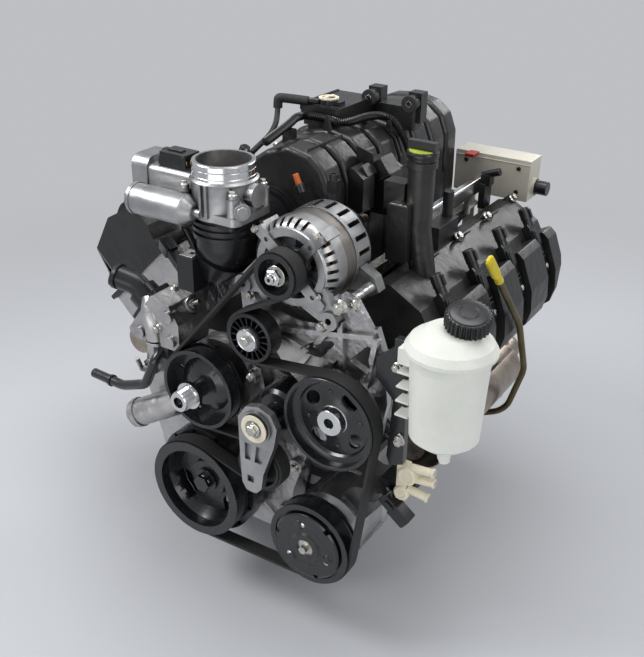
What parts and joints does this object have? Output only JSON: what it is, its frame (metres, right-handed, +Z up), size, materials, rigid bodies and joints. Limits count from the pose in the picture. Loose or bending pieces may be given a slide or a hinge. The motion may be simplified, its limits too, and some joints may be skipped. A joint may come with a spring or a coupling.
{
  "type": "complete V8 engine",
  "caption": "Complete longitudinal pushrod V8 engine with front belt drive, alternator, pumps, intake manifold, throttle body, valve covers and fluid reservoir.",
  "frame": {"origin": "on the crankshaft axis, at the rear face of the crankshaft flange", "axes": "+Y along the crankshaft to the rear, +Z up, +X to the engine's left side"},
  "size_m": [0.8657, 0.728, 0.796],
  "materials": {
    "block_cast_iron": "as cast",
    "black_rubber": "moulded",
    "cast_aluminium": "as cast",
    "forged_steel": "forged and ground",
    "machined_aluminium": "machined",
    "black_steel": "satin black",
    "black_plastic": "moulded, fine grain",
    "coil_plastic": "moulded",
    "cast_iron": "heat tinted",
    "shield_steel": "heat tinted",
    "brass": "machined",
    "plated_steel": "zinc plated",
    "lamination_steel": "laminated",
    "pulley_plastic": "moulded, satin",
    "belt_rubber": "fabric backed",
    "white_plastic": "translucent, satin",
    "yellow_plastic": "moulded",
    "olive_steel": "olive passivated",
    "conduit_plastic": "corrugated",
    "cream_steel": "coated sheet"
  },
  "bodies": {
    "engine": {"engine_block": "block_cast_iron", "oil_pan_gasket": "black_rubber", "oil_pan": "cast_aluminium", "pistons": "machined_aluminium", "timing_chain": "forged_steel", "timing_cover": "cast_aluminium", "cylinder_head_left": "cast_aluminium", "cylinder_head_right": "cast_aluminium", "valve_cover_left": "black_plastic", "valve_cover_right": "black_plastic", "coil_packs_left": "coil_plastic", "coil_packs_right": "coil_plastic", "exhaust_manifold_left": "cast_iron", "exhaust_manifold_right": "cast_iron", "heat_shield_left": "shield_steel", "intake_manifold": "black_plastic", "intake_neck": "black_plastic", "throttle_body": "cast_aluminium", "fuel_rail": "plated_steel", "fuel_injectors": "coil_plastic", "water_pump_body": "cast_aluminium", "water_outlet_housing": "cast_aluminium", "water_outlet_neck": "coil_plastic", "heater_tube": "black_steel", "alternator_front_housing": "cast_aluminium", "alternator_stator": "lamination_steel", "alternator_rear_housing": "cast_aluminium", "alternator_rear_cover": "coil_plastic", "accessory_bracket": "cast_aluminium", "tensioner_case": "black_steel", "drive_belt": "belt_rubber", "steering_pump": "black_steel", "fluid_reservoir": "white_plastic", "reservoir_bracket": "black_steel", "compressor_body": "cast_aluminium", "compressor_connectors": "coil_plastic", "dipstick_tube": "olive_steel", "oil_filler_tube": "black_plastic", "wiring_conduit": "conduit_plastic", "rear_module_box": "cream_steel"},
    "crank": {"crankshaft": "forged_steel", "crank_sprocket": "forged_steel", "crank_damper": "black_steel"},
    "cam": {"camshaft": "forged_steel", "cam_sprocket": "forged_steel"},
    "water_pump": {"water_pump_rotor": "plated_steel", "water_pump_pulley": "black_steel"},
    "alternator_spindle": {"alternator_rotor": "forged_steel", "alternator_pulley": "black_steel"},
    "idler": {"idler_pulley": "pulley_plastic"},
    "tensioner": {"tensioner_arm": "cast_aluminium"},
    "tensioner_roller": {"tensioner_pulley": "pulley_plastic"},
    "steering_spindle": {"steering_pulley": "black_steel"},
    "compressor_rim": {"compressor_pulley": "black_steel"},
    "compressor_clutch": {"compressor_clutch_plate": "black_steel", "compressor_shaft": "forged_steel"},
    "throttle": {"throttle_plate": "brass"},
    "reservoir_lid": {"reservoir_cap": "coil_plastic"},
    "filler_lid": {"oil_filler_cap": "coil_plastic"},
    "dipstick": {"dipstick": "yellow_plastic"}
  },
  "joints": [
    {"name": "crank_spin", "type": "hinge", "parent": "engine", "child": "crank", "pos_m": [0, 0, 0], "axis": [0, 1, 0], "continuous": true},
    {"name": "cam_spin", "type": "hinge", "parent": "engine", "child": "cam", "pos_m": [0, 0, 0.14932], "axis": [0, 1, 0], "continuous": true},
    {"name": "water_pump_spin", "type": "hinge", "parent": "engine", "child": "water_pump", "pos_m": [0.0174, 0, 0.1967], "axis": [0, 1, 0], "continuous": true},
    {"name": "alternator_spin", "type": "hinge", "parent": "engine", "child": "alternator_spindle", "pos_m": [0.1662, 0, 0.4261], "axis": [0, 1, 0], "continuous": true},
    {"name": "idler_spin", "type": "hinge", "parent": "engine", "child": "idler", "pos_m": [0.1204, 0, 0.3175], "axis": [0, 1, 0], "continuous": true},
    {"name": "tensioner_swing", "type": "hinge", "parent": "engine", "child": "tensioner", "pos_m": [0.144, 0, 0.185], "axis": [0, 1, 0], "range_deg": [-14, 6], "stiffness_Nm_per_rad": 60, "springref_deg": 20.05, "deforming": ["drive_belt"]},
    {"name": "tensioner_roller_spin", "type": "hinge", "parent": "tensioner", "child": "tensioner_roller", "pos_m": [0.131, 0, 0.096], "axis": [0, 1, 0], "continuous": true},
    {"name": "steering_spin", "type": "hinge", "parent": "engine", "child": "steering_spindle", "pos_m": [0.2547, 0, 0.2186], "axis": [0, 1, 0], "continuous": true},
    {"name": "compressor_rim_spin", "type": "hinge", "parent": "engine", "child": "compressor_rim", "pos_m": [0.2255, 0, -0.0108], "axis": [0, 1, 0], "continuous": true},
    {"name": "compressor_clutch_spin", "type": "hinge", "parent": "engine", "child": "compressor_clutch", "pos_m": [0.2255, 0, -0.0108], "axis": [0, 1, 0], "continuous": true},
    {"name": "throttle_turn", "type": "hinge", "parent": "engine", "child": "throttle", "pos_m": [0.04, -0.581, 0.52], "axis": [1, 0, 0], "range_deg": [0, 82], "stiffness_Nm_per_rad": 0.15},
    {"name": "reservoir_cap_lift", "type": "slide", "parent": "engine", "child": "reservoir_lid", "axis": [0.1398, -0.2174, 0.966], "range_m": [0, 0.04]},
    {"name": "filler_cap_lift", "type": "slide", "parent": "engine", "child": "filler_lid", "axis": [0, 0, 1], "range_m": [0, 0.04]},
    {"name": "dipstick_pull", "type": "slide", "parent": "engine", "child": "dipstick", "axis": [-0.0828, -0.617, 0.7826], "range_m": [0, 0.12]}
  ],
  "couplings": [
    {"joint": "cam_spin", "follows": "crank_spin", "ratio": 0.5},
    {"joint": "water_pump_spin", "follows": "crank_spin", "ratio": 1.3188},
    {"joint": "alternator_spin", "follows": "crank_spin", "ratio": 2.7622},
    {"joint": "steering_spin", "follows": "crank_spin", "ratio": 1.186},
    {"joint": "compressor_rim_spin", "follows": "crank_spin", "ratio": 1.2452},
    {"joint": "idler_spin", "follows": "crank_spin", "ratio": -2.2257},
    {"joint": "tensioner_roller_spin", "follows": "crank_spin", "ratio": -2.2316}
  ]
}
